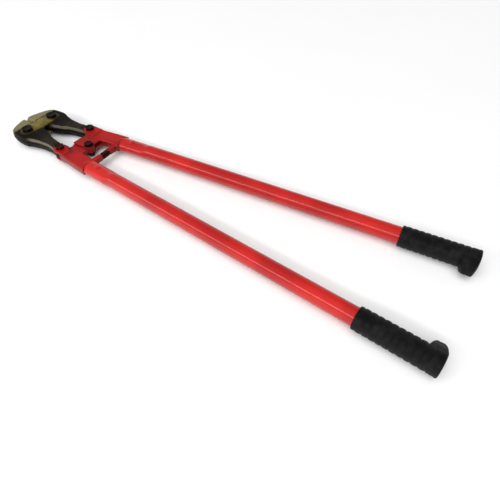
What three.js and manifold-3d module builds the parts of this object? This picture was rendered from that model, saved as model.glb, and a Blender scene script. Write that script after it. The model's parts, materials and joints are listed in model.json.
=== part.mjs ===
// Long-handled bolt cutters, lying flat and closed. Millimetres, +Z up.
// The origin is on the axis of the centre pivot, at the surface the tool lies on. +X runs from the
// pivot towards the grips, so the jaws point along -X. The right side is +Y, and the left mirrors it.
import * as THREE from "three";
import { mergeVertices } from "three/addons/utils/BufferGeometryUtils.js";
import Module from "manifold-3d";

const wasm = await Module();
wasm.setup();

// ---- Driving dimensions -------------------------------------------------------------------------
const CLEARANCE = 0.3; // between neighbouring pieces
const MIDPLANE = 20.8; // height of the plane that every piece is centred on

// Pivots, in plan, for the right side
const JAW_PIVOT = { x: -171, y: 35.5 }; // where a jaw turns between the link plates
const TAIL_PIVOT = { x: -43.5, y: 45 }; // where a jaw's tail turns in its yoke

// Jaws
const JAW_THICKNESS = 25;
const JAW_WAIST = 14; // thickness left under the link plates and between a yoke's ears
const JAW_NOSE = 15; // thickness at the tip
const JAW_DRAFT = 2.6; // how far the drafted sides pull in from the parting line
const JAW_TIP_X = -230;
const JAW_FLANK = 28.5; // from the jaw pivot out to the side of the jaw
const JAW_SHOULDER_X = -147; // where the blade body steps down to the tail
const BLADE_REAR_X = -196; // end of the cutting edge
const BLADE_BEVEL_WIDTH = 10; // how far each bevel runs back from the cutting edge
const TAIL_EYE_RADIUS = 13.5;
const JAW_HALF_GAP = 0.15; // half the gap between the closed cutting edges

// Link plates
const LINK_THICKNESS = 4.9;
const LINK_END_RADIUS = 18;

// Fasteners: width across the flats, height of the head and of the nut, shank radius
const JAW_BOLT = { flats: 22, head: 5.8, shank: 7.5 };
const TAIL_BOLT = { flats: 18, head: 5.5, shank: 6 };
const CENTRE_BOLT = { flats: 17, head: 4.5, shank: 5 };
const WASHER = { radius: 11, thickness: 1.2 };

// Yokes: the forgings that join a jaw's tail, the centre pivot and a handle tube
const YOKE_HALF_HEIGHT = 9.8;
const KNUCKLE_HALF_HEIGHT = 7.8;
const EAR_THICKNESS = 4.9; // of each ear beside a jaw's tail
const EAR_RADIUS = 15.5;
const PAD_REAR_X = -13; // rear step of the raised ears
const TONGUE_HALF_HEIGHT = 3.6;
const KNUCKLE_FRONT_RADIUS = 42;
const KNUCKLE_REAR_RADIUS = 12;
const KNUCKLE_OVERLAP = 16; // degrees that the front of a knuckle reaches past the centre line
const KNUCKLE_CLEARANCE = 2.2; // round the other yoke's knuckle
const OPEN_PIVOT_CLEARANCE = 2; // round the centre bolt in the forked yoke
const WINDOW = { front: 6, halfWidth: 28 }; // the opening between the yokes, behind the pivot
const LUG = { front: 43, rear: 56, halfHeight: 6.3, face: 9 };
const HANDLE_SWING = 29; // degrees that each handle opens
const JAW_SWING = 12; // degrees that each jaw opens

// Handle tubes and grips: distances along the handle's own axis
const HANDLE_ANGLE = 4.4; // degrees from the tool's centre line
const HANDLE_OFFSET = 46.9; // of the handle's axis from the centre pivot, across the tool
const TUBE_RADIUS = 16.7;
const TUBE_WALL = 2.8;
const TUBE_START = 60;
const FLAT_END = 118; // end of the pressed length over the shank
const ROUND_START = 138; // where the tube is fully round again
const FLAT_HEIGHT_SHARE = 0.85; // of the pressed section's height to the round tube's
const FLAT_WIDTH_SHARE = 1.12;
const GRIP_START = 707;
const GRIP_LENGTH = 136;
const GRIP_RADIUS = 20.4;
const GRIP_GROOVE = 1.2;
const GRIP_RIBS = 10;
const RIB_PITCH = 11.2;
const GRIP_END_WALL = 6;
const GRIP_LOBE = { length: 27, reach: 37, halfHeight: 13, drop: 5 };
const RIVET = { along: 88, shank: 3.6, head: 6.2, rise: 1.7 };

// Stop screws in the yokes' lugs
const STOP_SCREW = { flats: 13, head: 4, nut: 4, shank: 4, depth: 14 };

// ---- Materials ----------------------------------------------------------------------------------
const material = (color, roughness, metalness) =>
  new THREE.MeshStandardMaterial({ color, roughness, metalness });
const redPaint = material("#cd2626", 0.35, 0);
const bladeSteel = material("#6e6440", 0.42, 0.75);
const plateSteel = material("#8d8455", 0.4, 0.75);
const blackSteel = material("#2b2a2b", 0.45, 0.7);
const zincSteel = material("#a9a59c", 0.35, 0.9);
const blackRubber = material("#1d1d1f", 0.75, 0);

// ---- Solids and shapes --------------------------------------------------------------------------
const radians = THREE.MathUtils.degToRad;

// A closed geometry as a solid that can be joined and cut.
function solidOf(geometry) {
  const bare = geometry.clone();
  bare.deleteAttribute("normal");
  bare.deleteAttribute("uv");
  const merged = mergeVertices(bare, 1e-4);
  const mesh = new wasm.Mesh({
    numProp: 3,
    vertProperties: merged.attributes.position.array,
    triVerts: new Uint32Array(merged.index.array),
  });
  return new wasm.Manifold(mesh);
}

function geometryOf(solid) {
  const mesh = solid.getMesh();
  const geometry = new THREE.BufferGeometry();
  const positions = new Float32Array(mesh.vertProperties);
  geometry.setAttribute("position", new THREE.BufferAttribute(positions, 3));
  geometry.setIndex(new THREE.BufferAttribute(new Uint32Array(mesh.triVerts), 1));
  const flat = geometry.toNonIndexed();
  flat.computeVertexNormals();
  return flat;
}

const joined = (solids) => solids.reduce((whole, next) => whole.add(next));
const cutBy = (solid, cutters) => cutters.reduce((left, cutter) => left.subtract(cutter), solid);

const point = (x, y) => new THREE.Vector2(x, y);

// Points of an arc about a centre, from one angle to another in degrees.
function arc(centre, radius, from, to, steps) {
  return Array.from({ length: steps + 1 }, (_, i) => {
    const angle = radians(from + ((to - from) * i) / steps);
    return point(centre.x + radius * Math.cos(angle), centre.y + radius * Math.sin(angle));
  });
}

// An upright plate between two heights, with its outline's edges broken where asked.
function plate(points, low, high, edgeBreak = 0, breakHeight = edgeBreak) {
  const geometry = new THREE.ExtrudeGeometry(new THREE.Shape(points), {
    depth: high - low - 2 * breakHeight,
    bevelEnabled: edgeBreak > 0,
    bevelThickness: breakHeight,
    bevelSize: edgeBreak,
    bevelOffset: -edgeBreak,
    bevelSegments: 1,
  });
  return solidOf(geometry.translate(0, 0, low + breakHeight));
}

// An upright cylinder between two heights; six segments make a hexagon with flats across Y.
function post(centre, radius, low, high, segments = 20) {
  const geometry = new THREE.CylinderGeometry(radius, radius, high - low, segments);
  geometry.rotateX(Math.PI / 2).translate(centre.x, centre.y, (low + high) / 2);
  return solidOf(geometry);
}

const hexRadius = (flats) => flats / Math.sqrt(3);
const CENTRE = point(0, 0);

// ---- Heights above and below the middle plane ---------------------------------------------------
const jawTop = JAW_THICKNESS / 2;
const waistTop = JAW_WAIST / 2;
const linkLow = waistTop + CLEARANCE;
const linkTop = linkLow + LINK_THICKNESS;
const earLow = waistTop + CLEARANCE;
const earTop = earLow + EAR_THICKNESS;
const forkLow = TONGUE_HALF_HEIGHT + CLEARANCE;
const washerLow = KNUCKLE_HALF_HEIGHT + CLEARANCE;
const washerTop = washerLow + WASHER.thickness;

// ---- Fasteners ----------------------------------------------------------------------------------
// A bolt's head sits on the upper side, and its end stands on the surface, below its nut.
function bolt(centre, size, seat) {
  const low = seat + CLEARANCE;
  const head = post(centre, hexRadius(size.flats), low, low + size.head, 6);
  return head.add(post(centre, size.shank, -MIDPLANE, low + 1));
}

function nut(centre, size, seat) {
  const high = -seat - CLEARANCE;
  const body = post(centre, hexRadius(size.flats), high - size.head, high, 6);
  return body.subtract(post(centre, size.shank + CLEARANCE, -MIDPLANE - 1, 0));
}

function washer(low, high) {
  const hole = post(CENTRE, CENTRE_BOLT.shank + CLEARANCE, low - 1, high + 1);
  return post(CENTRE, WASHER.radius, low, high, 28).subtract(hole);
}

// ---- Link plates --------------------------------------------------------------------------------
function linkPlate(low, high) {
  const right = point(JAW_PIVOT.x, JAW_PIVOT.y);
  const left = point(JAW_PIVOT.x, -JAW_PIVOT.y);
  const outline = [
    ...arc(right, LINK_END_RADIUS, 0, 180, 14),
    ...arc(left, LINK_END_RADIUS, 180, 360, 14),
  ];
  const holes = [right, left].map((p) => post(p, JAW_BOLT.shank + CLEARANCE, low - 1, high + 1));
  return cutBy(plate(outline, low, high, 0.8), holes);
}

// ---- Jaws ---------------------------------------------------------------------------------------
// The lowest y that a jaw's inner edge may have behind its pivot, so that the open jaws stay apart.
function openRelief(x) {
  const swing = radians(JAW_SWING);
  const reach = (x - JAW_PIVOT.x) * Math.sin(swing) - JAW_PIVOT.y;
  return JAW_PIVOT.y + reach / Math.cos(swing) + 2 * JAW_HALF_GAP + 0.6;
}

function jaw() {
  const { x: px, y: py } = JAW_PIVOT;
  const flank = py + JAW_FLANK;
  const shoulder = JAW_SHOULDER_X;
  const tail = TAIL_PIVOT;
  const noseLength = px - JAW_TIP_X;
  const outline = [
    point(JAW_TIP_X, JAW_HALF_GAP),
    point(JAW_TIP_X + 0.02 * noseLength, 0.2 * flank),
    point(JAW_TIP_X + 0.13 * noseLength, 0.47 * flank),
    point(JAW_TIP_X + 0.26 * noseLength, 0.72 * flank),
    point(JAW_TIP_X + 0.42 * noseLength, 0.89 * flank),
    point(JAW_TIP_X + 0.64 * noseLength, 0.98 * flank),
    point(px, flank + 1),
    point(px + 13, flank + 1),
    point(shoulder, flank - 0.5),
    point(shoulder + 8, flank - 4),
    point(shoulder + 32, tail.y + 9),
    point(tail.x - 38, tail.y + 7),
    ...arc(tail, TAIL_EYE_RADIUS, 125, -80, 16),
    point(tail.x - 30, tail.y - 18),
    point(tail.x - 55, Math.max(tail.y - 22.5, openRelief(tail.x - 55))),
    point(shoulder + 34, Math.max(15.5, openRelief(shoulder + 34))),
    point(shoulder, Math.max(6, openRelief(shoulder))),
    point(px, 2 * JAW_HALF_GAP),
    point(BLADE_REAR_X, 2 * JAW_HALF_GAP),
    point(BLADE_REAR_X - 1, JAW_HALF_GAP),
  ];
  const blank = plate(outline, -jawTop, jawTop, JAW_DRAFT, jawTop - 0.5);
  const edge = plate(outline, -0.6, 0.6);
  const cuts = [
    post(JAW_PIVOT, JAW_BOLT.shank + CLEARANCE, -MIDPLANE, MIDPLANE),
    post(TAIL_PIVOT, TAIL_BOLT.shank + CLEARANCE, -MIDPLANE, MIDPLANE),
    ...[1, -1].flatMap((side) => [bladeBevel(side), noseTaper(side), ...waists(side)]),
  ];
  return cutBy(blank.add(edge), cuts);
}

// The room for a link plate and for a yoke's ear in one face of a jaw. The link plate's room
// widens behind the plate by as much as the jaw turns.
function waists(side) {
  const [low, high] = side > 0 ? [waistTop, MIDPLANE] : [-MIDPLANE, -waistTop];
  const radius = LINK_END_RADIUS + 2 * CLEARANCE;
  const turn = radians(JAW_SWING + 1);
  const reach = JAW_PIVOT.y + 3;
  const rear = point(
    JAW_PIVOT.x + radius * Math.cos(turn) + reach * Math.sin(turn),
    JAW_PIVOT.y + radius * Math.sin(turn) - reach * Math.cos(turn),
  );
  const linkRoom = [
    ...arc(JAW_PIVOT, radius, JAW_SWING + 1, 180, 14),
    point(JAW_PIVOT.x - radius, JAW_PIVOT.y - reach),
    point(rear.x, JAW_PIVOT.y - reach),
    rear,
  ];
  const earRoom = EAR_RADIUS + 2 * CLEARANCE;
  return [plate(linkRoom, low, high), post(TAIL_PIVOT, earRoom, low, high, 28)];
}

// What is taken off one face so that the jaw thins from the link plates to its tip.
function noseTaper(side) {
  const front = JAW_TIP_X - 10;
  const back = JAW_PIVOT.x - LINK_END_RADIUS;
  const slope = (JAW_THICKNESS - JAW_NOSE) / 2 / (back - JAW_TIP_X);
  const section = [
    point(back, side * jawTop),
    point(back, side * MIDPLANE),
    point(front, side * MIDPLANE),
    point(front, side * (jawTop - slope * (back - front))),
  ];
  return acrossTool(side > 0 ? section : section.reverse(), -10, 2 * JAW_PIVOT.y + 20);
}

// A section in the plane of the tool's length and height, carried across it between two places.
function acrossTool(section, from, to) {
  const settings = { depth: to - from, bevelEnabled: false };
  const geometry = new THREE.ExtrudeGeometry(new THREE.Shape(section), settings);
  return solidOf(geometry.rotateX(Math.PI / 2).translate(0, to, 0));
}

// The wedge that is ground off one face of a jaw along its cutting edge.
function bladeBevel(side) {
  const rise = jawTop + 1;
  const run = (BLADE_BEVEL_WIDTH * rise) / jawTop;
  const section = [
    point(0, side * 0.3),
    point(run, side * rise),
    point(-5, side * rise),
    point(-5, side * 0.3),
  ];
  const length = BLADE_REAR_X - JAW_TIP_X + 10;
  const geometry = new THREE.ExtrudeGeometry(
    new THREE.Shape(side > 0 ? section : section.reverse()),
    { depth: length, bevelEnabled: false },
  );
  geometry.rotateX(Math.PI / 2).rotateZ(Math.PI / 2);
  return solidOf(geometry.translate(JAW_TIP_X - 10, JAW_HALF_GAP, 0));
}

// ---- Yokes --------------------------------------------------------------------------------------
const flatHalfWidth = TUBE_RADIUS * FLAT_WIDTH_SHARE;
const gripEnd = GRIP_START + GRIP_LENGTH;

// A point in plan, given along the handle's axis and across it, positive outwards.
function onHandle(along, across) {
  const angle = radians(HANDLE_ANGLE);
  return point(
    along * Math.cos(angle) - across * Math.sin(angle),
    HANDLE_OFFSET + along * Math.sin(angle) + across * Math.cos(angle),
  );
}

// The knuckle of one yoke in plan: wide in front of the centre pivot, narrow behind it.
function knuckleOutline() {
  return [
    point(TAIL_PIVOT.x, TAIL_PIVOT.y - TAIL_EYE_RADIUS - 2),
    ...arc(CENTRE, KNUCKLE_FRONT_RADIUS, 150, 180 + KNUCKLE_OVERLAP, 10),
    ...arc(CENTRE, KNUCKLE_REAR_RADIUS, 238, 420, 16),
    point(WINDOW.front, WINDOW.halfWidth + 6),
    point(0, KNUCKLE_FRONT_RADIUS),
    point(PAD_REAR_X, KNUCKLE_FRONT_RADIUS),
  ];
}

// The room that the other yoke's knuckle needs as it turns, in plan.
function knuckleRoom() {
  const front = KNUCKLE_FRONT_RADIUS + KNUCKLE_CLEARANCE;
  const sweep = 180 - KNUCKLE_OVERLAP - 2 * HANDLE_SWING - 5;
  return [
    ...arc(CENTRE, front, sweep, 225, 20),
    ...arc(CENTRE, KNUCKLE_REAR_RADIUS + KNUCKLE_CLEARANCE, 225, 360 + sweep - 40, 20),
  ];
}

function bodyOutline() {
  const rear = TUBE_START - CLEARANCE;
  return [
    ...arc(TAIL_PIVOT, EAR_RADIUS, 270, 90, 12),
    onHandle(PAD_REAR_X, EAR_RADIUS + 1.5),
    onHandle(rear - 25, flatHalfWidth + 1),
    onHandle(rear, flatHalfWidth + 1.5),
    onHandle(rear, -flatHalfWidth),
    point(LUG.rear, onHandle(LUG.rear, -flatHalfWidth).y - 2),
    point(LUG.front, WINDOW.halfWidth + 4),
    point(WINDOW.front, WINDOW.halfWidth),
    point(0, WINDOW.halfWidth + 1),
  ];
}

function padOutline() {
  return [
    ...arc(TAIL_PIVOT, EAR_RADIUS, 270, 90, 12),
    onHandle(PAD_REAR_X, EAR_RADIUS - 1),
    point(PAD_REAR_X, WINDOW.halfWidth),
  ];
}

// The slot for the jaw's tail: open in front, and round behind the tail pivot.
function tailSlot() {
  const opened = 180 - HANDLE_SWING - JAW_SWING - 90;
  const sector = [TAIL_PIVOT, ...arc(TAIL_PIVOT, 3 * EAR_RADIUS, opened, 275, 12)];
  const round = post(TAIL_PIVOT, TAIL_EYE_RADIUS + 3 * CLEARANCE, -earLow, earLow, 28);
  return plate(sector, -earLow, earLow).add(round);
}

function stopLug() {
  const { front, rear, face, halfHeight } = LUG;
  const root = WINDOW.halfWidth + 5;
  const outline = [
    point(front, root),
    point(front, face + 3),
    point(front + 3, face),
    point(rear - 3, face),
    point(rear, face + 3),
    point(rear, root),
  ];
  return plate(outline, -halfHeight, halfHeight, 1.2);
}

// The shank that the tube is pressed onto, in the handle's own frame.
function shank() {
  const radius = TUBE_RADIUS - TUBE_WALL - 1.4 * CLEARANCE;
  const length = FLAT_END - TUBE_START + 12;
  const geometry = new THREE.CylinderGeometry(radius, radius, length, 24);
  geometry.rotateZ(Math.PI / 2).scale(1, FLAT_WIDTH_SHARE, FLAT_HEIGHT_SHARE);
  geometry.translate(FLAT_END - length / 2, 0, 0);
  return solidOf(inToolFrame(geometry));
}

function inToolFrame(geometry) {
  return geometry.rotateZ(radians(HANDLE_ANGLE)).translate(0, HANDLE_OFFSET, 0);
}

function rivetHole() {
  const geometry = new THREE.CylinderGeometry(
    RIVET.shank + CLEARANCE,
    RIVET.shank + CLEARANCE,
    4 * TUBE_RADIUS,
    16,
  );
  return geometry.rotateX(Math.PI / 2).translate(RIVET.along, 0, 0);
}

function stopScrewHole() {
  const length = STOP_SCREW.depth + 2;
  const radius = STOP_SCREW.shank + CLEARANCE;
  const geometry = new THREE.CylinderGeometry(radius, radius, length, 14);
  return solidOf(geometry.translate((LUG.front + LUG.rear) / 2, LUG.face + length / 2 - 1, 0));
}

// The forked yoke carries two knuckle plates, and the other a tongue between them.
function yoke(forked) {
  const high = YOKE_HALF_HEIGHT;
  const knuckle = knuckleOutline();
  const room = knuckleRoom();
  const body = plate(bodyOutline(), -high, high, 3);
  const pads = plate(padOutline(), -earTop, earTop, 1.4);
  const solid = joined([body, pads, stopLug(), shank()]);
  const tongue = TONGUE_HALF_HEIGHT;
  const clear = 2 * MIDPLANE;
  const rooms = forked
    ? [plate(room, -forkLow, forkLow)]
    : [plate(room, tongue, clear), plate(room, -clear, -tongue)];
  const fork = KNUCKLE_HALF_HEIGHT;
  const plates = forked
    ? [plate(knuckle, forkLow, fork, 0.8), plate(knuckle, -fork, -forkLow, 0.8)]
    : [plate(knuckle, -tongue, tongue, 0.8)];
  const boreRadius = CENTRE_BOLT.shank + (forked ? OPEN_PIVOT_CLEARANCE : CLEARANCE);
  const holes = [
    tailSlot(),
    post(TAIL_PIVOT, TAIL_BOLT.shank + CLEARANCE, -clear, clear),
    post(CENTRE, boreRadius, -clear, clear),
    solidOf(inToolFrame(rivetHole())),
    stopScrewHole(),
  ];
  return cutBy(joined([cutBy(solid, rooms), ...plates]), holes);
}

// ---- Handle tubes, rivets and grips, in the handle's own frame ----------------------------------
// How far the pressed shape has been taken at a place along the tube: 1 pressed, 0 round.
function pressed(along) {
  const share = (ROUND_START - along) / (ROUND_START - FLAT_END);
  return THREE.MathUtils.smoothstep(share, 0, 1);
}

function turned(profile, segments) {
  const geometry = new THREE.LatheGeometry(profile, segments);
  return geometry.rotateZ(-Math.PI / 2);
}

function tube() {
  const end = gripEnd - GRIP_END_WALL - CLEARANCE;
  const inner = TUBE_RADIUS - TUBE_WALL;
  const steps = [0, 0.25, 0.5, 0.75, 1];
  const press = steps.map((share) => FLAT_END + share * (ROUND_START - FLAT_END));
  const stations = [TUBE_START, ...press, end];
  const profile = [
    ...stations.map((along) => point(TUBE_RADIUS, along)),
    ...stations.reverse().map((along) => point(inner, along)),
  ];
  profile.push(profile[0].clone());
  const geometry = turned(profile, 28);
  const places = geometry.attributes.position;
  for (let i = 0; i < places.count; i++) {
    const share = pressed(places.getX(i));
    places.setY(i, places.getY(i) * (1 + share * (FLAT_WIDTH_SHARE - 1)));
    places.setZ(i, places.getZ(i) * (1 + share * (FLAT_HEIGHT_SHARE - 1)));
  }
  return solidOf(geometry).subtract(solidOf(rivetHole()));
}

function rivet() {
  const seat = TUBE_RADIUS * FLAT_HEIGHT_SHARE + CLEARANCE;
  const top = seat + RIVET.rise;
  const profile = [
    point(0, -top),
    point(0.6 * RIVET.head, -top),
    point(RIVET.head, -seat),
    point(RIVET.shank, -seat),
    point(RIVET.shank, seat),
    point(RIVET.head, seat),
    point(0.6 * RIVET.head, top),
    point(0, top),
  ];
  const geometry = new THREE.LatheGeometry(profile, 18).rotateX(Math.PI / 2);
  return solidOf(geometry.translate(RIVET.along, 0, 0));
}

function gripLobe() {
  const { length, reach, halfHeight, drop } = GRIP_LOBE;
  const depth = length / 2;
  const geometry = new THREE.SphereGeometry(1, 18, 12).scale(length / 2, depth, halfHeight);
  return solidOf(geometry.translate(gripEnd - length / 2, depth - reach, -drop));
}

function grip() {
  const ribs = Array.from({ length: GRIP_RIBS }, (_, i) => {
    const start = GRIP_START + 6 + i * RIB_PITCH;
    return [
      point(GRIP_RADIUS - GRIP_GROOVE, start),
      point(GRIP_RADIUS, start + 0.3 * RIB_PITCH),
      point(GRIP_RADIUS, start + 0.75 * RIB_PITCH),
    ];
  }).flat();
  const rearStart = GRIP_START + 6 + GRIP_RIBS * RIB_PITCH;
  const profile = [
    point(0, GRIP_START),
    point(GRIP_RADIUS - 0.6, GRIP_START),
    point(GRIP_RADIUS - 0.3, GRIP_START + 4.5),
    ...ribs,
    point(GRIP_RADIUS - GRIP_GROOVE, rearStart),
    point(GRIP_RADIUS - 0.2, rearStart + 3),
    point(GRIP_RADIUS, gripEnd - 7),
    point(MIDPLANE, gripEnd - 3),
    point(MIDPLANE, gripEnd - 1.2),
    point(MIDPLANE - 1.2, gripEnd),
    point(0, gripEnd),
  ];
  const boreRadius = TUBE_RADIUS + CLEARANCE;
  const bore = [
    point(0, GRIP_START - 5),
    point(boreRadius, GRIP_START - 5),
    point(boreRadius, gripEnd - GRIP_END_WALL),
    point(0, gripEnd - GRIP_END_WALL),
  ];
  return solidOf(turned(profile, 28)).add(gripLobe()).subtract(solidOf(turned(bore, 28)));
}

// ---- Stop screws, across the tool at the lugs ---------------------------------------------------
const stopX = (LUG.front + LUG.rear) / 2;

function crossPost(radius, low, high, segments) {
  const geometry = new THREE.CylinderGeometry(radius, radius, high - low, segments);
  return solidOf(geometry.translate(stopX, (low + high) / 2, 0));
}

const stopNutTop = LUG.face - CLEARANCE;
const stopNutLow = stopNutTop - STOP_SCREW.nut;
const stopHeadTop = stopNutLow - CLEARANCE;

function stopScrew() {
  const head = crossPost(hexRadius(STOP_SCREW.flats), stopHeadTop - STOP_SCREW.head, stopHeadTop, 6);
  return head.add(crossPost(STOP_SCREW.shank, stopHeadTop - 1, LUG.face + STOP_SCREW.depth, 14));
}

function stopNut() {
  const body = crossPost(hexRadius(STOP_SCREW.flats), stopNutLow, stopNutTop, 6);
  return body.subtract(crossPost(STOP_SCREW.shank + CLEARANCE, 0, 2 * LUG.face, 14));
}

// ---- Assembly -----------------------------------------------------------------------------------
const tool = new THREE.Group();
tool.position.z = MIDPLANE;

function place(group, name, solid, surface) {
  const mesh = new THREE.Mesh(geometryOf(solid), surface);
  mesh.name = name;
  group.add(mesh);
}

place(tool, "top_link_plate", linkPlate(linkLow, linkTop), plateSteel);
place(tool, "bottom_link_plate", linkPlate(-linkTop, -linkLow), plateSteel);
place(tool, "centre_bolt", bolt(CENTRE, CENTRE_BOLT, washerTop), blackSteel);
place(tool, "centre_nut", nut(CENTRE, CENTRE_BOLT, washerTop), blackSteel);
place(tool, "centre_top_washer", washer(washerLow, washerTop), blackSteel);
place(tool, "centre_bottom_washer", washer(-washerTop, -washerLow), blackSteel);

for (const [side, sign] of [["right", 1], ["left", -1]]) {
  const half = new THREE.Group();
  half.scale.y = sign;
  place(half, `${side}_jaw`, jaw(), bladeSteel);
  place(half, `${side}_jaw_bolt`, bolt(JAW_PIVOT, JAW_BOLT, linkTop), blackSteel);
  place(half, `${side}_jaw_nut`, nut(JAW_PIVOT, JAW_BOLT, linkTop), blackSteel);
  place(half, `${side}_yoke`, yoke(sign > 0), redPaint);
  place(half, `${side}_tail_bolt`, bolt(TAIL_PIVOT, TAIL_BOLT, earTop), blackSteel);
  place(half, `${side}_tail_nut`, nut(TAIL_PIVOT, TAIL_BOLT, earTop), blackSteel);
  place(half, `${side}_stop_screw`, stopScrew(), blackSteel);
  place(half, `${side}_stop_nut`, stopNut(), blackSteel);

  const handle = new THREE.Group();
  handle.position.y = HANDLE_OFFSET;
  handle.rotation.z = radians(HANDLE_ANGLE);
  place(handle, `${side}_tube`, tube(), redPaint);
  place(handle, `${side}_rivet`, rivet(), zincSteel);
  place(handle, `${side}_grip`, grip(), blackRubber);
  half.add(handle);
  tool.add(half);
}

const boltCutters = new THREE.Group();
boltCutters.add(tool);

export default boltCutters;
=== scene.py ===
# %% [markdown]
# # Long-handled bolt cutters
# The tool lies flat and closed: two forged jaws between bolted link plates, two red yokes round a
# centre pivot, two red tubes and two black rubber grips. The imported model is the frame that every
# piece is built on. The file is a lesson: each step says what a piece is, how it could be made,
# and why this way was chosen.

# %% Load the frame
import json
import math

import bmesh
import bpy
from mathutils import Matrix, Vector


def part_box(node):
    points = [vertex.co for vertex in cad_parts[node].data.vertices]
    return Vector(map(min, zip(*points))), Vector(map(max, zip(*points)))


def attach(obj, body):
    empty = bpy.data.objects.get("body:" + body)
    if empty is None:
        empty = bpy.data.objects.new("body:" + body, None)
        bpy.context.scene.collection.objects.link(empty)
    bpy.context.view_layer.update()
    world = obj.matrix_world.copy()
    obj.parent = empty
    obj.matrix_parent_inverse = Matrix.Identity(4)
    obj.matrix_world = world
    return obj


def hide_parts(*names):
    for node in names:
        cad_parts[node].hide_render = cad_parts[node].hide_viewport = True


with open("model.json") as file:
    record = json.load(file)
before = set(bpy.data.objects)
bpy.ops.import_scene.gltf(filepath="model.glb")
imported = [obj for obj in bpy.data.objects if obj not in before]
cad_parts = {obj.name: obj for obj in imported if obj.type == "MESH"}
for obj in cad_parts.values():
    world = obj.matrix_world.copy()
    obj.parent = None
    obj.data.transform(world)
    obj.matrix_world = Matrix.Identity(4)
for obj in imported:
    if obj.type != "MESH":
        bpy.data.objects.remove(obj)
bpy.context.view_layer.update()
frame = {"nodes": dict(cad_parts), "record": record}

MM = 0.001
SIDES = {"right": 1, "left": -1}

# %% [markdown]
# ## The camera
# A camera can be turned by angles or by three axes. Here its back axis comes from an azimuth and
# an elevation, and the other two follow by cross products, so that a small roll is easy to add.

# %% Camera
CAMERA_AZIMUTH = math.radians(33.63)
CAMERA_ELEVATION = math.radians(47.93)
CAMERA_ROLL = math.radians(1.82)
CAMERA_DISTANCE = 0.7504
CAMERA_TARGET = Vector((0.48408, -0.04675, 0.0208))
CAMERA_LENS = 29.54
CAMERA_SHIFT = (-0.00944, -0.01894)


def aimed_camera():
    back = Vector((
        math.sin(CAMERA_AZIMUTH) * math.cos(CAMERA_ELEVATION),
        -math.cos(CAMERA_AZIMUTH) * math.cos(CAMERA_ELEVATION),
        math.sin(CAMERA_ELEVATION),
    ))
    level = (-back).cross(Vector((0, 0, 1))).normalized()
    down = (-back).cross(level)
    right = math.cos(CAMERA_ROLL) * level + math.sin(CAMERA_ROLL) * down
    up = math.sin(CAMERA_ROLL) * level - math.cos(CAMERA_ROLL) * down
    camera = bpy.data.objects.new("camera", bpy.data.cameras.new("camera"))
    turn = Matrix((right, up, back)).transposed().to_4x4()
    camera.matrix_world = Matrix.Translation(CAMERA_TARGET + back * CAMERA_DISTANCE) @ turn
    camera.data.lens = CAMERA_LENS
    camera.data.sensor_width = 36
    camera.data.shift_x, camera.data.shift_y = CAMERA_SHIFT
    camera.data.clip_start = 0.01
    bpy.context.scene.collection.objects.link(camera)
    bpy.context.scene.camera = camera
    return camera


print("camera stands at", aimed_camera().location)

# %% [markdown]
# ## Shader nodes as sums
# Materials are easier to read as arithmetic than as boxes and wires. One small class wraps a
# socket and adds a Math node for each sign, and one method adds any other node.


# %% Wires and finishes
class Wire:
    """A socket that can be used in a sum."""

    def __init__(self, finish, socket):
        self.finish = finish
        self.socket = socket

    def __add__(self, other):
        return self.finish.math("ADD", self, other)

    __radd__ = __add__

    def __mul__(self, other):
        return self.finish.math("MULTIPLY", self, other)

    __rmul__ = __mul__

    def __sub__(self, other):
        return self.finish.math("SUBTRACT", self, other)

    def __rsub__(self, other):
        return self.finish.math("SUBTRACT", other, self)


class Finish:
    """A material under construction."""

    def __init__(self, name):
        self.material = bpy.data.materials.new(name)
        self.material.use_nodes = True
        self.tree = self.material.node_tree
        self.tree.nodes.clear()
        self.place = self.node("ShaderNodeTexCoord", {}, {}, "Object")

    def node(self, kind, settings, inputs, output=0):
        made = self.tree.nodes.new(kind)
        for name, value in settings.items():
            setattr(made, name, value)
        for name, value in inputs.items():
            if isinstance(value, Wire):
                self.tree.links.new(value.socket, made.inputs[name])
            else:
                made.inputs[name].default_value = value
        return Wire(self, made.outputs[output])

    def math(self, operation, first, second):
        return self.node("ShaderNodeMath", {"operation": operation}, {0: first, 1: second})

    def greater(self, first, second):
        return self.math("MAXIMUM", first, second)

    def height_of_normal(self):
        """1 where the surface faces up, 0 on an upright side, -1 underneath."""
        return self.split(self.node("ShaderNodeNewGeometry", {}, {}, "Normal"))[2]

    def split(self, vector):
        return [self.node("ShaderNodeSeparateXYZ", {}, {0: vector}, axis) for axis in "XYZ"]

    def noise(self, scale, detail=3.0, roughness=0.5, vector=None):
        inputs = {
            "Vector": vector or self.place,
            "Scale": scale,
            "Detail": detail,
            "Roughness": roughness,
        }
        return self.node("ShaderNodeTexNoise", {}, inputs, "Fac")

    def stretched(self, along, across, up):
        inputs = {"Vector": self.place, "Scale": (along, across, up)}
        return self.node("ShaderNodeMapping", {"vector_type": "POINT"}, inputs)

    def ramp(self, value, low, high):
        """0 below low, 1 above high, smooth between."""
        settings = {"interpolation_type": "SMOOTHSTEP", "clamp": True}
        inputs = {"Value": value, "From Min": low, "From Max": high}
        return self.node("ShaderNodeMapRange", settings, inputs)

    def mix(self, share, first, second):
        settings = {"data_type": "RGBA", "clamp_factor": True}
        return self.node("ShaderNodeMix", settings, {0: share, 6: first, 7: second}, 2)

    def bump(self, height, distance, strength=1.0, normal=None):
        inputs = {"Height": height, "Distance": distance, "Strength": strength}
        if normal:
            inputs["Normal"] = normal
        return self.node("ShaderNodeBump", {}, inputs)

    def surface(self, **values):
        """A shader whose sockets are named in lower case: base_color is Base Color."""
        inputs = {}
        for name, value in values.items():
            inputs[name.replace("_", " ").title().replace("Ior", "IOR")] = value
        shader = self.node("ShaderNodeBsdfPrincipled", {}, inputs)
        output = self.tree.nodes.new("ShaderNodeOutputMaterial")
        self.tree.links.new(shader.socket, output.inputs["Surface"])
        return self.material


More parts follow.
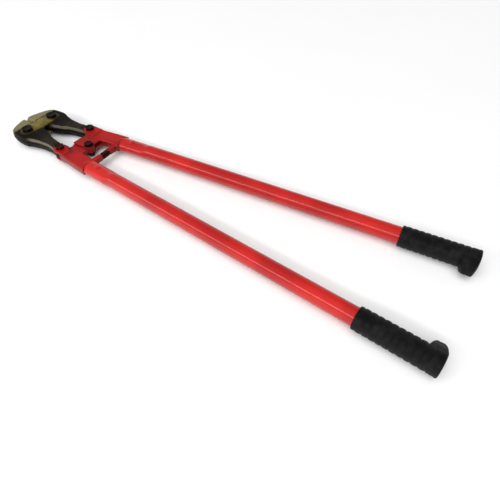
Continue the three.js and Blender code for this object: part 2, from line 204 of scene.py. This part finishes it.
def colour(red, green, blue):
    """A screen colour from 0 to 255 as the linear values that a shader mixes."""
    return (*(((c / 255 + 0.055) / 1.055) ** 2.4 for c in (red, green, blue)), 1.0)


print("paint red is", [round(c, 3) for c in colour(205, 38, 38)])

# %% [markdown]
# ## Red enamel
# Handles and yokes are sprayed in one coat, glossy on the drawn tubes and duller on the forgings.
# Real enamel is never quite flat: it has orange peel a few millimetres across, runs a little
# darker in places, and picks up dull scuffs. A clear coat over the colour gives the long sharp
# highlight, and noise gives the rest.


# %% Enamel
def enamel(name, deep, bright, peel_depth, cast_depth, flank_shade, coat_share):
    finish = Finish(name)
    cloud = finish.noise(14.0, 4.0)
    red = finish.mix(finish.ramp(cloud, 0.35, 0.7), colour(*deep), colour(*bright))
    # Painted shade: the upright flanks are mixed towards a dark red, more on the yokes than on the
    # tubes.
    flank = 1 - finish.ramp(finish.height_of_normal(), 0.15, 0.75)
    tint = finish.mix(flank * flank_shade, red, colour(84, 5, 8))
    specks = finish.ramp(finish.noise(900.0, 1.0), 0.69, 0.74) * 0.45
    grime = finish.ramp(finish.noise(60.0, 5.0, 0.7), 0.58, 0.72) * 0.22
    painted = finish.mix(finish.greater(specks, grime), tint, colour(104, 12, 14))
    streaks = finish.noise(1.0, 5.0, 0.6, finish.stretched(38, 420, 420))
    scuffs = finish.ramp(streaks, 0.60, 0.68)
    peel = finish.bump(finish.noise(330.0, 2.0), peel_depth)
    cast = finish.bump(finish.noise(1300.0, 4.0, 0.7), cast_depth, 1.0, peel)
    return finish.surface(
        base_color=painted,
        roughness=0.36 + scuffs * 0.16 + cloud * 0.10,
        specular_ior_level=0.25,
        coat_weight=coat_share,
        coat_roughness=0.10,
        normal=cast,
    )


tube_enamel = enamel(
    "tube_enamel", (172, 12, 7), (200, 25, 14),
    peel_depth=0.00004, cast_depth=0.000003, flank_shade=0.12, coat_share=0.65,
)
yoke_enamel = enamel(
    "yoke_enamel", (140, 7, 9), (172, 14, 12),
    peel_depth=0.00012, cast_depth=0.00005, flank_shade=0.5, coat_share=0.15,
)
print("made", tube_enamel.name, yoke_enamel.name)

# %% [markdown]
# ## Forged and plated steels
# The jaws are drop forged and heat blackened, with a sandy skin, and their noses are ground
# lighter. The link plates wear a yellow passivation that reads as olive gold. Bolts are black
# oxide. All of them are metal with two or three scales of noise in colour, roughness and bump.


# %% Jaw steel
def jaw_steel():
    finish = Finish("jaw_steel")
    x, _, z = finish.split(finish.place)
    level = finish.height_of_normal()
    mottle = finish.noise(90.0, 6.0, 0.65)
    tail = finish.ramp(x + 0.02 * (mottle - 0.5), -0.135, -0.080)
    patches = finish.ramp(mottle, 0.3, 0.7)
    black = finish.mix(patches, colour(9, 6, 4), colour(30, 25, 17))
    brown = finish.mix(patches, colour(24, 19, 13), colour(62, 54, 40))
    skin = finish.mix(tail, black, brown)
    # Painted highlight: the upper drafted sides, which slope a little towards the light, are
    # lightened towards grey. Painted shade: the lower sides and the faces underneath are darkened
    # to near black.
    side = finish.ramp(level, 0.02, 0.12) * (1 - finish.ramp(level, 0.45, 0.8))
    upper = finish.ramp(z + 0.003 * (mottle - 0.5), 0.0245, 0.0275)
    painted_side_highlight = side * upper * finish.ramp(x, -0.150, -0.130) * (0.5 + 0.5 * mottle)
    highlighted_skin = finish.mix(painted_side_highlight, skin, colour(128, 119, 104))
    lower = side * (1 - finish.ramp(z, 0.022, 0.026))
    shaded = finish.greater(lower, finish.ramp(-1 * level, -0.04, 0.12))
    under = finish.mix(shaded, highlighted_skin, colour(13, 9, 6))
    flake = finish.ramp(finish.noise(420.0, 4.0, 0.7), 0.60, 0.72)
    forged = finish.mix(flake * 0.5, under, colour(70, 64, 52))
    grit = finish.noise(1.0, 4.0, 0.6, finish.stretched(60, 900, 60))
    ground = finish.mix(grit, colour(104, 96, 62), colour(152, 143, 104))
    nose = finish.ramp(-1 * x + 0.012 * (mottle - 0.5), 0.186, 0.196)
    bright = finish.mix(nose, forged, ground)
    sand = finish.noise(1500.0, 4.0, 0.7) * (1 - 0.6 * nose)
    dents = finish.bump(finish.noise(150.0, 3.0), 0.00025)
    grain = finish.bump(sand, 0.00007, 1.0, dents)
    return finish.surface(
        base_color=bright,
        metallic=0.35,
        roughness=0.46 + 0.22 * mottle - 0.08 * nose,
        specular_ior_level=0.1,
        normal=grain,
    )


def plate_steel():
    finish = Finish("link_steel")
    y = finish.split(finish.place)[1]
    mottle = finish.noise(60.0, 5.0, 0.6)
    gold = finish.mix(finish.ramp(mottle, 0.3, 0.72), colour(112, 96, 38), colour(160, 140, 70))
    smoke = finish.ramp(finish.noise(24.0, 3.0), 0.52, 0.70)
    # The plate turns darker towards both ends, round the bolts, over the random smoky stains.
    from_middle = finish.math("ABSOLUTE", y, 0)
    darker_ends = finish.ramp(from_middle + 0.012 * (mottle - 0.5), 0.020, 0.032)
    stains_and_darker_ends = finish.greater(smoke * 0.4, darker_ends * 0.85)
    passivated = finish.mix(stains_and_darker_ends, gold, colour(44, 34, 18))
    rolled = finish.noise(1.0, 3.0, 0.6, finish.stretched(900, 60, 900))
    return finish.surface(
        base_color=passivated,
        metallic=0.6,
        roughness=0.34 + 0.18 * rolled,
        normal=finish.bump(rolled, 0.00003),
    )


def dark_steel(name, dark, light, paint_share=0.0):
    finish = Finish(name)
    mottle = finish.noise(260.0, 5.0, 0.7)
    oxide = finish.mix(finish.ramp(mottle, 0.35, 0.75), colour(*dark), colour(*light))
    mist = finish.noise(130.0, 4.0, 0.6)
    # The overspray red is set far darker than the enamel, as red paint in painted shade.
    overspray = finish.ramp(mist, 0.62 - 0.3 * paint_share, 0.72 - 0.2 * paint_share)
    coated = finish.mix(overspray * paint_share, oxide, colour(84, 12, 10))
    return finish.surface(
        base_color=coated,
        metallic=0.4,
        roughness=0.38 + 0.25 * mottle,
        specular_ior_level=0.15,
        normal=finish.bump(mottle, 0.00004),
    )


jaw_finish = jaw_steel()
plate_finish = plate_steel()
oxide_finish = dark_steel("black_oxide", (9, 7, 6), (30, 26, 22))
# Red overspray on black oxide, partly real and partly painted shade: its reds are as dark as the
# enamel in shade.
oversprayed_shaded_bolt_finish = dark_steel("oversprayed_shaded_oxide", (22, 5, 4), (52, 12, 8), 0.6)
steels = (jaw_finish, plate_finish, oxide_finish, oversprayed_shaded_bolt_finish)
print("steels", [steel.name for steel in steels])

# %% [markdown]
# ## Grip rubber
# Moulded rubber is near black, dull, and slightly lighter where it is rubbed. Its skin has a fine
# leathery grain from the mould, which a Voronoi texture gives better than noise.


# %% Rubber
def grip_rubber():
    finish = Finish("grip_rubber")
    cloud = finish.noise(70.0, 4.0, 0.6)
    black = finish.mix(finish.ramp(cloud, 0.35, 0.72), colour(7, 7, 8), colour(24, 24, 26))
    dust = finish.ramp(finish.noise(420.0, 4.0, 0.7), 0.60, 0.72)
    dusted = finish.mix(dust * 0.3, black, colour(58, 57, 56))
    cells = {"Vector": finish.place, "Scale": 900.0}
    grain = finish.node("ShaderNodeTexVoronoi", {}, cells, "Distance")
    moulded = finish.bump(grain, 0.00008)
    return finish.surface(
        base_color=dusted,
        roughness=0.46 + 0.22 * cloud,
        specular_ior_level=0.18,
        normal=finish.bump(cloud, 0.0002, 1.0, moulded),
    )


rubber_finish = grip_rubber()
print("made", rubber_finish.name)

# %% [markdown]
# ## From a bmesh to a piece
# Every new piece goes through the same door: its mesh is shaded smooth except across sharp edges,
# it is parented to the empty of the body it rides on, the CAD nodes it stands for are hidden, and
# it takes its finish.

# %% Make a piece
SHARP = math.radians(34)
made_pieces = []


def piece(name, bm, body, nodes, finish, sharp=SHARP):
    mesh = bpy.data.meshes.new(name)
    for face in bm.faces:
        face.smooth = True
    for edge in bm.edges:
        edge.smooth = len(edge.link_faces) == 2 and edge.calc_face_angle(0) < sharp
    bm.to_mesh(mesh)
    bm.free()
    mesh.materials.append(finish)
    made = bpy.data.objects.new(name, mesh)
    bpy.context.scene.collection.objects.link(made)
    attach(made, body)
    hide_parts(*nodes)
    made_pieces.append(made)
    print(name, len(mesh.polygons), "faces")
    return made


def turned(profile, steps, axis):
    """A profile of (along, radius) points turned once round an axis, and closed."""
    bm = bmesh.new()
    across = Vector((0, 0, 1)) if axis.x else Vector((1, 0, 0))
    points = [bm.verts.new(axis * along + across * radius) for along, radius in profile]
    edges = [bm.edges.new(pair) for pair in zip(points, points[1:])]
    if profile[0][1] > 0:
        edges.append(bm.edges.new((points[-1], points[0])))
    bmesh.ops.spin(
        bm, geom=points + edges, cent=(0, 0, 0), axis=axis, dvec=(0, 0, 0),
        angle=math.tau, steps=steps, use_merge=True, use_duplicate=False,
    )
    bmesh.ops.remove_doubles(bm, verts=bm.verts, dist=1e-6)
    bmesh.ops.dissolve_degenerate(bm, edges=bm.edges, dist=1e-7)
    bmesh.ops.recalc_face_normals(bm, faces=bm.faces)
    return bm


def relaxed(bm, verts, rounds):
    for _ in range(rounds):
        bmesh.ops.smooth_vert(
            bm, verts=verts, factor=0.5, use_axis_x=True, use_axis_y=True, use_axis_z=True,
        )


ALONG = Vector((1, 0, 0))
UP = Vector((0, 0, 1))

# %% [markdown]
# ## The handles' own frame
# Tubes and grips are easiest to shape along a straight axis. The record's grip end mounts say
# where that axis ends and which way it points, so a matrix can carry each finished handle piece
# to its place. The left handle's matrix mirrors, so its normals are worked out again.

# %% Handle frame
GRIP_END = 843 * MM
mounts = {mount["name"]: mount for mount in frame["record"]["mounts"]}


def handle_frame(side):
    end = mounts[side + "_grip_end"]
    axis = Vector(end["axis"]).normalized()
    outward = UP.cross(axis) * SIDES[side]
    start = Vector(end["pos_m"]) - axis * GRIP_END
    turn = Matrix((axis, outward, UP)).transposed().to_4x4()
    return Matrix.Translation(start) @ turn


def carried(bm, matrix):
    bmesh.ops.transform(bm, matrix=matrix, verts=bm.verts)
    if matrix.determinant() < 0:
        bmesh.ops.recalc_face_normals(bm, faces=bm.faces)
    return bm


print("right handle starts at", handle_frame("right").translation)

# %% [markdown]
# ## Tubes
# Each handle is a plain drawn tube, pressed wider and lower over the yoke's shank and round again
# behind it. A curve with a bevel would give the tube but not its press, so a spun profile is
# scaled ring by ring.

# %% Tubes
TUBE_RADIUS = 16.7 * MM
TUBE_WALL = 2.8 * MM
TUBE_START = 60 * MM
TUBE_END = GRIP_END - 6.3 * MM
FLAT_END = 118 * MM
ROUND_START = 138 * MM
FLAT_WIDE = 1.12
FLAT_LOW = 0.85
RIM = 0.7 * MM
PRESS_STEPS = 12


def tube(side):
    inner = TUBE_RADIUS - TUBE_WALL
    step = (ROUND_START - FLAT_END) / PRESS_STEPS
    press = [FLAT_END + step * i for i in range(PRESS_STEPS + 1)]
    stations = [TUBE_START + RIM, *press, TUBE_END - RIM]
    profile = [(TUBE_START, TUBE_RADIUS - RIM)]
    profile += [(along, TUBE_RADIUS) for along in stations]
    profile += [(TUBE_END, TUBE_RADIUS - RIM), (TUBE_END, inner)]
    profile += [(along, inner) for along in reversed(press)]
    profile += [(TUBE_START, inner)]
    bm = turned(profile, 72, ALONG)
    for along in sorted({round(v.co.x, 6) for v in bm.verts if v.co.x < ROUND_START - 1e-6}):
        share = min(1, (ROUND_START - along) / (ROUND_START - FLAT_END))
        eased = share * share * (3 - 2 * share)
        ring = [v for v in bm.verts if abs(v.co.x - along) < 2e-6]
        wide = 1 + eased * (FLAT_WIDE - 1)
        low = 1 + eased * (FLAT_LOW - 1)
        bmesh.ops.scale(bm, vec=(1, wide, low), verts=ring)
    return carried(bm, handle_frame(side))


for side in SIDES:
    piece(side + "_handle_tube", tube(side), side + "_handle", [side + "_tube"],
          tube_enamel)

# %% [markdown]
# ## Grips
# The grips are moulded sleeves: ten round ribs, a smooth rear with a slight flare, a closed end,
# and a lobe on the inner side that keeps a hand from slipping off. The sleeve is one spun
# profile. The lobe is drawn out of the sleeve's own faces by a few extrusions, so that it grows
# from the rubber without a seam.

# %% Grips
GRIP_START = 707 * MM
GRIP_RADIUS = 20.4 * MM
GRIP_GROOVE = 1.2 * MM
GRIP_RIBS = 10
RIB_PITCH = 11.2 * MM
FLARE_RADIUS = 20.8 * MM
LOBE_LENGTH = 27 * MM
LOBE_REACH = 37 * MM
LOBE_DROP = 5 * MM
LOBE_SMOOTHING = 6
GRIP_BORE = TUBE_RADIUS + 0.3 * MM
# Each rib's section: (share of the pitch, share of the groove's depth).
RIB_SHAPE = [
    (0.0, 1.0), (0.08, 0.85), (0.2, 0.3), (0.34, 0.04), (0.55, 0.0), (0.74, 0.06), (0.88, 0.35),
]


def grip_profile():
    profile = [(GRIP_START, GRIP_BORE), (GRIP_START, GRIP_RADIUS - 1.4 * MM)]
    profile.append((GRIP_START + 0.8 * MM, GRIP_RADIUS - 0.5 * MM))
    profile.append((GRIP_START + 4.5 * MM, GRIP_RADIUS - 0.3 * MM))
    first = GRIP_START + 6 * MM
    for rib in range(GRIP_RIBS):
        for share, depth in RIB_SHAPE:
            profile.append((first + (rib + share) * RIB_PITCH, GRIP_RADIUS - depth * GRIP_GROOVE))
    rear = first + GRIP_RIBS * RIB_PITCH
    profile.append((rear, GRIP_RADIUS - GRIP_GROOVE))
    profile.append((rear + 1.5 * MM, GRIP_RADIUS - 0.5 * MM))
    flare = GRIP_END - 5 * MM
    profile += [(rear + (flare - rear) * i / 5, GRIP_RADIUS) for i in range(1, 6)]
    profile += [(GRIP_END - 3.4 * MM, FLARE_RADIUS), (GRIP_END - 1.6 * MM, FLARE_RADIUS)]
    profile += [(GRIP_END - 0.4 * MM, FLARE_RADIUS - 0.9 * MM), (GRIP_END, FLARE_RADIUS - 2.4 * MM)]
    profile += [(GRIP_END, 0), (GRIP_END - 6 * MM, 0), (GRIP_END - 6 * MM, GRIP_BORE)]
    return profile


print("grip profile has", len(grip_profile()), "points")


# %% Lobe
# Each draw of the lobe: (share of its rise, how much its outline shrinks).
LOBE_DRAWS = [(0.38, 0.97), (0.30, 0.90), (0.20, 0.80), (0.12, 0.62)]
LOBE_ROOT = -0.60 * GRIP_RADIUS


def closed_sleeve(profile):
    """The sleeve's profile, from its end's outer pole round to its inner one."""
    pole = next(i for i, (_, radius) in enumerate(profile) if radius == 0)
    return list(reversed(profile[:pole + 1])) + list(reversed(profile[pole + 1:]))


def grip(side):
    bm = turned(closed_sleeve(grip_profile()), 72, ALONG)
    low, high = GRIP_END - LOBE_LENGTH, GRIP_END - 2 * MM
    bore = TUBE_RADIUS + 1 * MM
    faces = []
    for face in bm.faces:
        centre = face.calc_center_median()
        outside = math.hypot(centre.y, centre.z) > bore
        if low < centre.x < high and outside and centre.y < LOBE_ROOT:
            faces.append(face)
    rise = LOBE_REACH - GRIP_RADIUS
    middle = Vector(((low + high) / 2, 0, 0))
    for share, shrink in LOBE_DRAWS:
        drawn = bmesh.ops.extrude_face_region(bm, geom=faces)["geom"]
        bmesh.ops.delete(bm, geom=faces, context="FACES")
        faces = [item for item in drawn if isinstance(item, bmesh.types.BMFace)]
        corners = list({v for face in faces for v in face.verts})
        bmesh.ops.translate(bm, vec=(0, -rise * share, -LOBE_DROP * share), verts=corners)
        about = Matrix.Translation(-middle)
        bmesh.ops.scale(bm, vec=(shrink, 1, shrink), space=about, verts=corners)
    lobe = [
        v for v in bm.verts
        if v.co.y < -0.62 * GRIP_RADIUS and low - 1 * MM < v.co.x < high + 1 * MM
    ]
    relaxed(bm, lobe, LOBE_SMOOTHING)
    bmesh.ops.recalc_face_normals(bm, faces=bm.faces)
    return carried(bm, handle_frame(side))


for side in SIDES:
    piece(side + "_rubber_grip", grip(side), side + "_handle", [side + "_grip"],
          rubber_finish)

# %% [markdown]
# ## Bolts and nuts
# A hexagon head is a prism with its corners turned off, which leaves a curved edge on each flat.
# The prism starts as a ring of 48 points set to a hexagon's radius, and each point of the top
# edge sinks by how far it stands outside the flats, so the curve comes by itself.

# %% Hexagons
HEX_POINTS = 48
CHAMFER_SLOPE = 0.55


def hex_radius(angle, flats):
    sector = math.radians(60)
    return flats / 2 / math.cos((angle % sector) - sector / 2)


def hex_prism(flats, low, high):
    """An upright hexagon, chamfered, with corners along Y; its two ends are single faces."""
    bm = bmesh.new()
    bmesh.ops.create_circle(bm, cap_ends=True, segments=HEX_POINTS, radius=1)
    for v in bm.verts:
        angle = math.atan2(v.co.y, v.co.x) + math.radians(30)
        v.co = v.co.normalized() * hex_radius(angle, flats)
        v.co.z = low
    bottom = bm.faces[:]
    bmesh.ops.reverse_faces(bm, faces=bottom)
    top = bmesh.ops.extrude_face_region(bm, geom=bottom, use_keep_orig=True)["geom"]
    risen = [item for item in top if isinstance(item, bmesh.types.BMVert)]
    bmesh.ops.translate(bm, vec=(0, 0, high - low), verts=risen)
    bmesh.ops.recalc_face_normals(bm, faces=bm.faces)
    for end in [f for f in bm.faces if len(f.verts) == HEX_POINTS]:
        upper = end.calc_center_median().z > (low + high) / 2
        outer = list(end.verts)
        rim = 0.04 * flats
        bmesh.ops.inset_region(bm, faces=[end], thickness=rim, use_even_offset=True)
        for v in outer:
            drop = (math.hypot(v.co.x, v.co.y) - 0.47 * flats) * CHAMFER_SLOPE
            v.co.z += -drop if upper else drop
        for v in end.verts:
            v.co = Vector((*(v.co.xy.normalized() * 0.46 * flats), v.co.z))
    return bm


def ends_of(bm):
    ends = [f for f in bm.faces if len(f.verts) == HEX_POINTS]
    return sorted(ends, key=lambda f: f.calc_center_median().z)


print("corner", round(hex_radius(0, 22), 2), "flat", hex_radius(math.radians(30), 22))


# %% Bolts, nuts and washers
def bolt(flats, head, shank, top, length):
    """A bolt along Z whose head ends at top; its shank goes down to top - length."""
    bm = hex_prism(flats, top - head, top)
    under = ends_of(bm)[0]
    bmesh.ops.inset_region(bm, faces=[under], thickness=0.2 * MM)
    for v in under.verts:
        v.co = Vector((*(v.co.xy.normalized() * shank), v.co.z))
    lower = top - head
    for level, radius in ((top - length + 0.8 * MM, shank), (top - length, shank - 0.8 * MM)):
        drawn = bmesh.ops.extrude_face_region(bm, geom=[under])["geom"]
        bmesh.ops.delete(bm, geom=[under], context="FACES_ONLY")
        under = next(item for item in drawn if isinstance(item, bmesh.types.BMFace))
        for v in under.verts:
            v.co = Vector((*(v.co.xy.normalized() * radius), v.co.z + level - lower))
        lower = level
    bmesh.ops.recalc_face_normals(bm, faces=bm.faces)
    return bm


def nut(flats, bore, low, high):
    bm = hex_prism(flats, low, high)
    for end in ends_of(bm):
        bmesh.ops.inset_region(bm, faces=[end], thickness=0.2 * MM)
        for v in end.verts:
            v.co = Vector((*(v.co.xy.normalized() * bore), v.co.z))
    holes = ends_of(bm)
    rims = [edge for end in holes for edge in end.edges]
    bmesh.ops.delete(bm, geom=holes, context="FACES_ONLY")
    bmesh.ops.bridge_loops(bm, edges=rims)
    bmesh.ops.recalc_face_normals(bm, faces=bm.faces)
    return bm


def washer(bore, radius, low, high):
    soft = 0.25 * MM
    profile = [
        (low, bore), (low, radius - soft), (low + soft, radius),
        (high - soft, radius), (high, radius - soft), (high, bore),
    ]
    return turned(profile, 48, UP)


FASTENERS = {
    "jaw": (22 * MM, 5.8 * MM, 7.5 * MM),
    "tail": (18 * MM, 5.5 * MM, 6 * MM),
    "centre": (17 * MM, 4.5 * MM, 5 * MM),
}
CLEARANCE = 0.3 * MM


def upright(kind, bolt_node, nut_node, body, finish):
    flats, head, shank = FASTENERS[kind]
    for node, make in ((bolt_node, "bolt"), (nut_node, "nut")):
        low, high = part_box(node)
        middle = (low + high) / 2
        if make == "bolt":
            bm = bolt(flats, head, shank, high.z, high.z - low.z)
        else:
            bm = nut(flats, shank + CLEARANCE, low.z, high.z)
        bmesh.ops.translate(bm, vec=(middle.x, middle.y, 0), verts=bm.verts)
        piece(node + "_turned", bm, body, [node], finish)


for side in SIDES:
    tail_finish = oxide_finish if side == "right" else oversprayed_shaded_bolt_finish
    upright("jaw", side + "_jaw_bolt", side + "_jaw_nut", "links", oxide_finish)
    upright("tail", side + "_tail_bolt", side + "_tail_nut", side + "_handle", tail_finish)
upright("centre", "centre_bolt", "centre_nut", "left_handle", oversprayed_shaded_bolt_finish)
for node in ("centre_top_washer", "centre_bottom_washer"):
    low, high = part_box(node)
    ring = washer(5.3 * MM, (high.x - low.x) / 2, low.z, high.z)
    piece(node + "_turned", ring, "left_handle", [node], oxide_finish)

# %% [markdown]
# ## Stop screws
# Behind the centre pivot, a screw in each yoke's lug meets its neighbour when the jaws are
# closed, and turning it sets the bite. They are the same hexagons, laid along Y, and the left
# pair is turned half round to face the right one.

# %% Stop screws
STOP_FLATS = 13 * MM
STOP_HEAD = 4 * MM
STOP_SHANK = 4 * MM


def laid_across(bm, side, x, z):
    """From along Z, head up, to along Y with its head towards the centre line."""
    quarter = Matrix.Rotation(math.radians(90) * SIDES[side], 4, "X")
    roll = Matrix.Rotation(math.radians(30), 4, "Z")
    return carried(bm, Matrix.Translation((x, 0, z)) @ quarter @ roll)


for side in SIDES:
    low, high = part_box(side + "_stop_screw")
    near, far = sorted((abs(low.y), abs(high.y)))
    middle = (low + high) / 2
    bm = bolt(STOP_FLATS, STOP_HEAD, STOP_SHANK, -near, far - near)
    piece(side + "_stop_screw_turned", laid_across(bm, side, middle.x, middle.z),
          side + "_handle", [side + "_stop_screw"], oversprayed_shaded_bolt_finish)
    low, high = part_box(side + "_stop_nut")
    near, far = sorted((abs(low.y), abs(high.y)))
    bm = nut(STOP_FLATS, STOP_SHANK + CLEARANCE, -far, -near)
    piece(side + "_stop_nut_turned", laid_across(bm, side, middle.x, middle.z),
          side + "_handle", [side + "_stop_nut"], oversprayed_shaded_bolt_finish)

# %% [markdown]
# ## Rivets
# One rivet holds each tube on its shank. Its heads are low domes, so the profile is an arc at
# each end of a straight pin.

# %% Rivets
RIVET_ALONG = 88 * MM
RIVET_PIN = 3.6 * MM
RIVET_HEAD = 6.2 * MM
RIVET_RISE = 1.7 * MM
DOME_STEPS = 6


def rivet(side):
    seat = TUBE_RADIUS * FLAT_LOW + CLEARANCE
    dome = []
    for i in range(DOME_STEPS + 1):
        angle = math.radians(90) * i / DOME_STEPS
        dome.append((seat + RIVET_RISE * math.cos(angle), RIVET_HEAD * math.sin(angle)))
    below = [(-along, radius) for along, radius in dome]
    profile = below + [(-seat, RIVET_PIN), (seat, RIVET_PIN)] + list(reversed(dome))
    bm = turned(profile, 36, UP)
    bmesh.ops.translate(bm, vec=(RIVET_ALONG, 0, 0), verts=bm.verts)
    return carried(bm, handle_frame(side))


for side in SIDES:
    piece(side + "_rivet_domed", rivet(side), side + "_handle", [side + "_rivet"],
          tube_enamel)

# %% [markdown]
# ## Link plates
# A link plate is a strap with round ends and two holes. Half of it is a bridge from the hole's
# ring to an outer ring that is round at the end and square at the middle. The half is mirrored,
# given its thickness by an extrusion, and its edges are bevelled as if tumbled.

# %% Link plates
PLATE_POINTS = 64
PLATE_EDGE = 0.9 * MM


def link_plate(node):
    low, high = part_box(node)
    half_width = (high.x - low.x) / 2
    pivot = high.y - half_width
    bore = FASTENERS["jaw"][2] + CLEARANCE
    bm = bmesh.new()
    hole = bmesh.ops.create_circle(bm, segments=PLATE_POINTS, radius=bore)["verts"]
    outer = bmesh.ops.create_circle(bm, segments=PLATE_POINTS, radius=half_width)["verts"]
    for v in outer:
        if v.co.y < -1e-6:
            ray = v.co.normalized()
            v.co = ray * min(half_width / max(abs(ray.x), 1e-9), pivot / abs(ray.y))
    bmesh.ops.bridge_loops(bm, edges=bm.edges[:])
    bmesh.ops.translate(bm, vec=(0, pivot, 0), verts=bm.verts)
    half = bm.verts[:] + bm.edges[:] + bm.faces[:]
    bmesh.ops.mirror(bm, geom=half, axis="Y", merge_dist=1e-5)
    bmesh.ops.remove_doubles(bm, verts=bm.verts, dist=1e-5)
    bmesh.ops.recalc_face_normals(bm, faces=bm.faces)
    top = bmesh.ops.extrude_face_region(bm, geom=bm.faces[:], use_keep_orig=True)["geom"]
    risen = [item for item in top if isinstance(item, bmesh.types.BMVert)]
    bmesh.ops.translate(bm, vec=(0, 0, high.z - low.z), verts=risen)
    bmesh.ops.translate(bm, vec=((low.x + high.x) / 2, 0, low.z), verts=bm.verts)
    bmesh.ops.recalc_face_normals(bm, faces=bm.faces)
    rims = [
        e for e in bm.edges
        if len(e.link_faces) == 2 and e.calc_face_angle() > math.radians(60)
        and abs(e.verts[0].co.z - e.verts[1].co.z) < 1e-6
    ]
    bmesh.ops.bevel(
        bm, geom=rims, offset=PLATE_EDGE, offset_type="OFFSET", segments=3, profile=0.5,
        affect="EDGES", material=-1, clamp_overlap=True,
    )
    return bm


for node in ("top_link_plate", "bottom_link_plate"):
    piece(node + "_tumbled", link_plate(node), "links", [node], plate_finish)

# %% [markdown]
# ## Forgings: jaws and yokes
# A forging has no sharp edge anywhere: steel has flowed into a die, so every corner is round, and
# a thin parting line runs round the middle. Bevelling the cut CAD solid edge by edge fails where
# small faces meet. So a copy of the solid is merged, divided into even small squares, and relaxed
# a few times, which rounds all edges by the same small radius. The parting line is then pushed
# out along the normals.

# %% Forgings
MIDDLE_HEIGHT = 20.8 * MM
PARTING_HALF_WIDTH = 0.7 * MM
RELAX_ROUNDS = 4
SOFT_CORNER = math.radians(80)


def forging(name, node, body, finish, square, flash):
    bm = bmesh.new()
    bm.from_mesh(frame["nodes"][node].data)
    bmesh.ops.remove_doubles(bm, verts=bm.verts, dist=2e-5)
    blank = bpy.data.meshes.new(name + "_blank")
    bm.to_mesh(blank)
    bm.free()
    holder = bpy.data.objects.new(name + "_blank", blank)
    bpy.context.scene.collection.objects.link(holder)
    squares = holder.modifiers.new("even squares", "REMESH")
    squares.mode = "VOXEL"
    squares.voxel_size = square
    baked = holder.evaluated_get(bpy.context.evaluated_depsgraph_get()).to_mesh()
    bm = bmesh.new()
    bm.from_mesh(baked)
    bpy.data.objects.remove(holder)
    relaxed(bm, bm.verts, RELAX_ROUNDS)
    bm.normal_update()
    for v in bm.verts:
        off = (v.co.z - MIDDLE_HEIGHT) / PARTING_HALF_WIDTH
        if abs(off) < 3 and abs(v.normal.z) < 0.5:
            v.co += v.normal * flash * math.exp(-off * off)
    return piece(name, bm, body, [node], finish, SOFT_CORNER)


for side in SIDES:
    forging(side + "_jaw_forging", side + "_jaw", side + "_jaw", jaw_finish,
            square=0.8 * MM, flash=0.35 * MM)
    forging(side + "_yoke_forging", side + "_yoke", side + "_handle", yoke_enamel,
            square=0.9 * MM, flash=0.25 * MM)

# %% [markdown]
# ## Floor and light
# The tool lies on a pale sheet in a white tent. A wide, soft sun stands for the tent: it lights
# everything evenly and is left out of reflections, so blacks stay black. One long strip lamp on
# the near side is what the enamel reflects, as a thin bright line along each tube. A small lamp
# fills from the grips, and the sky is pale at the horizon and dimmer above.

# %% Floor
FLOOR_SIZE = 40


def floor():
    finish = Finish("floor_paper")
    paper = finish.mix(finish.noise(3.0, 2.0), colour(248, 248, 248), colour(252, 252, 252))
    material = finish.surface(base_color=paper, roughness=0.9)
    bm = bmesh.new()
    bmesh.ops.create_grid(bm, x_segments=1, y_segments=1, size=FLOOR_SIZE / 2)
    mesh = bpy.data.meshes.new("floor")
    bm.to_mesh(mesh)
    bm.free()
    mesh.materials.append(material)
    made = bpy.data.objects.new("floor", mesh)
    bpy.context.scene.collection.objects.link(made)


floor()
print("floor is", FLOOR_SIZE, "m wide")


# %% Lamps
def light(name, kind, power, place, aim):
    data = bpy.data.lights.new(name, kind)
    data.energy = power
    made = bpy.data.objects.new(name, data)
    made.location = place
    made.rotation_euler = (Vector(aim) - Vector(place)).to_track_quat("-Z", "Y").to_euler()
    bpy.context.scene.collection.objects.link(made)
    return made


def lamp(name, power, place, aim, size):
    made = light(name, "AREA", power, place, aim)
    made.data.shape = "RECTANGLE"
    made.data.size, made.data.size_y = size


tent = light("tent_light", "SUN", 2.1, (0.1, -0.7, 1.6), (0, 0, 0))
tent.data.angle = math.radians(75)
tent.visible_glossy = False
lamp("strip_lamp", 16, (-0.5, -1.6, 1.2), (-0.5, 0, 0), (3.4, 0.2))
lamp("fill_lamp", 2, (2.2, -0.8, 1.2), (0.4, 0, 0), (1.0, 1.0))
print("tent light is", round(math.degrees(tent.data.angle)), "degrees wide")

# %% Sky
SKY_FADE = {"From Min": 0.05, "From Max": 0.45, "To Min": 0.92, "To Max": 0.3}

sky = bpy.data.worlds.new("pale_sky")
sky.use_nodes = True
nodes, links = sky.node_tree.nodes, sky.node_tree.links
around = nodes.new("ShaderNodeTexCoord")
height = nodes.new("ShaderNodeSeparateXYZ")
fade = nodes.new("ShaderNodeMapRange")
for name, value in SKY_FADE.items():
    fade.inputs[name].default_value = value
nodes["Background"].inputs["Color"].default_value = (1, 1, 1, 1)
links.new(around.outputs["Generated"], height.inputs[0])
links.new(height.outputs["Z"], fade.inputs["Value"])
links.new(fade.outputs[0], nodes["Background"].inputs["Strength"])
bpy.context.scene.world = sky
bpy.context.scene.view_settings.view_transform = "Standard"
print("pieces", len(made_pieces), "faces", sum(len(o.data.polygons) for o in made_pieces))
